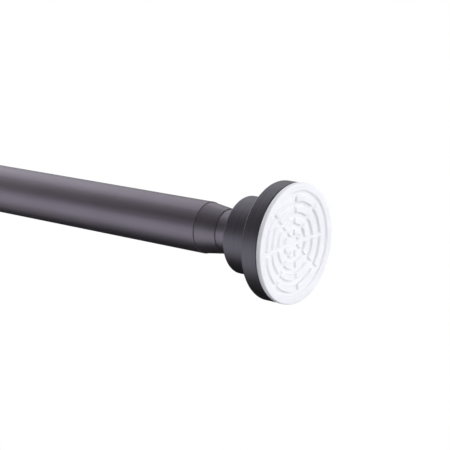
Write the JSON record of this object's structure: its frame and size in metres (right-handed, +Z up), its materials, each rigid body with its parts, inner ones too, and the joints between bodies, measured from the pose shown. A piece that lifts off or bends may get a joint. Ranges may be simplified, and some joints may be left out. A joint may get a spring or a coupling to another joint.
{
  "type": "shower curtain rod",
  "caption": "Telescopic spring tension rod with a tapered collar, stepped end cups and white rubber wall pads; holds a shower curtain between two walls.",
  "frame": {"origin": "middle of the rod's length at rest, on the axis of the tubes", "axes": "+X along the rod towards the slimmer tube's end, +Z up, +Y completes a right-handed frame"},
  "size_m": [1.0668, 0.0566, 0.0566],
  "materials": {
    "coated_steel": "satin dark bronze coating on thin steel tube",
    "collar_plastic": "satin moulded plastic, dark bronze like the tube",
    "cup_plastic": "satin moulded plastic, dark grey bronze",
    "white_rubber": "matte moulded white rubber",
    "plug_plastic": "matte moulded black nylon",
    "natural_plastic": "natural off-white moulded acetal",
    "zinc_steel": "bright zinc plated steel",
    "spring_steel": "oiled spring steel"
  },
  "bodies": {
    "outer_half": {"outer_tube": "coated_steel", "tapered_collar": "collar_plastic", "rear_plug": "plug_plastic", "rear_cup": "cup_plastic", "rear_cup_screw": "zinc_steel", "rear_pad": "white_rubber"},
    "glide": {"glide_ring": "natural_plastic"},
    "inner_half": {"inner_tube": "coated_steel", "front_plug": "plug_plastic", "front_cup": "cup_plastic", "front_cup_screw": "zinc_steel", "front_pad": "white_rubber", "guide_plug": "plug_plastic", "front_spring_seat": "zinc_steel", "tension_spring": "spring_steel"},
    "plunger": {"plunger_shaft": "zinc_steel", "stop_washer": "zinc_steel", "stop_clip": "spring_steel", "rear_spring_seat": "zinc_steel", "cam_hub": "natural_plastic", "cam_washer": "zinc_steel", "cam_screw": "zinc_steel"},
    "lock_ring": {"cam_ring": "natural_plastic"}
  },
  "joints": [
    {"name": "telescope", "type": "slide", "parent": "outer_half", "child": "glide", "axis": [1, 0, 0], "range_m": [-0.01, 0.762]},
    {"name": "twist", "type": "hinge", "parent": "glide", "child": "inner_half", "pos_m": [0, 0, 0], "axis": [1, 0, 0], "continuous": true},
    {"name": "spring_stroke", "type": "slide", "parent": "inner_half", "child": "plunger", "axis": [1, 0, 0], "range_m": [0, 0.025], "stiffness_N_per_m": 2000, "springref_m": -0.01, "deforming": ["tension_spring"]},
    {"name": "cam_swing", "type": "hinge", "parent": "plunger", "child": "lock_ring", "pos_m": [-0.4692, 0, 0.0015], "axis": [1, 0, 0], "range_deg": [-15, 15]}
  ]
}
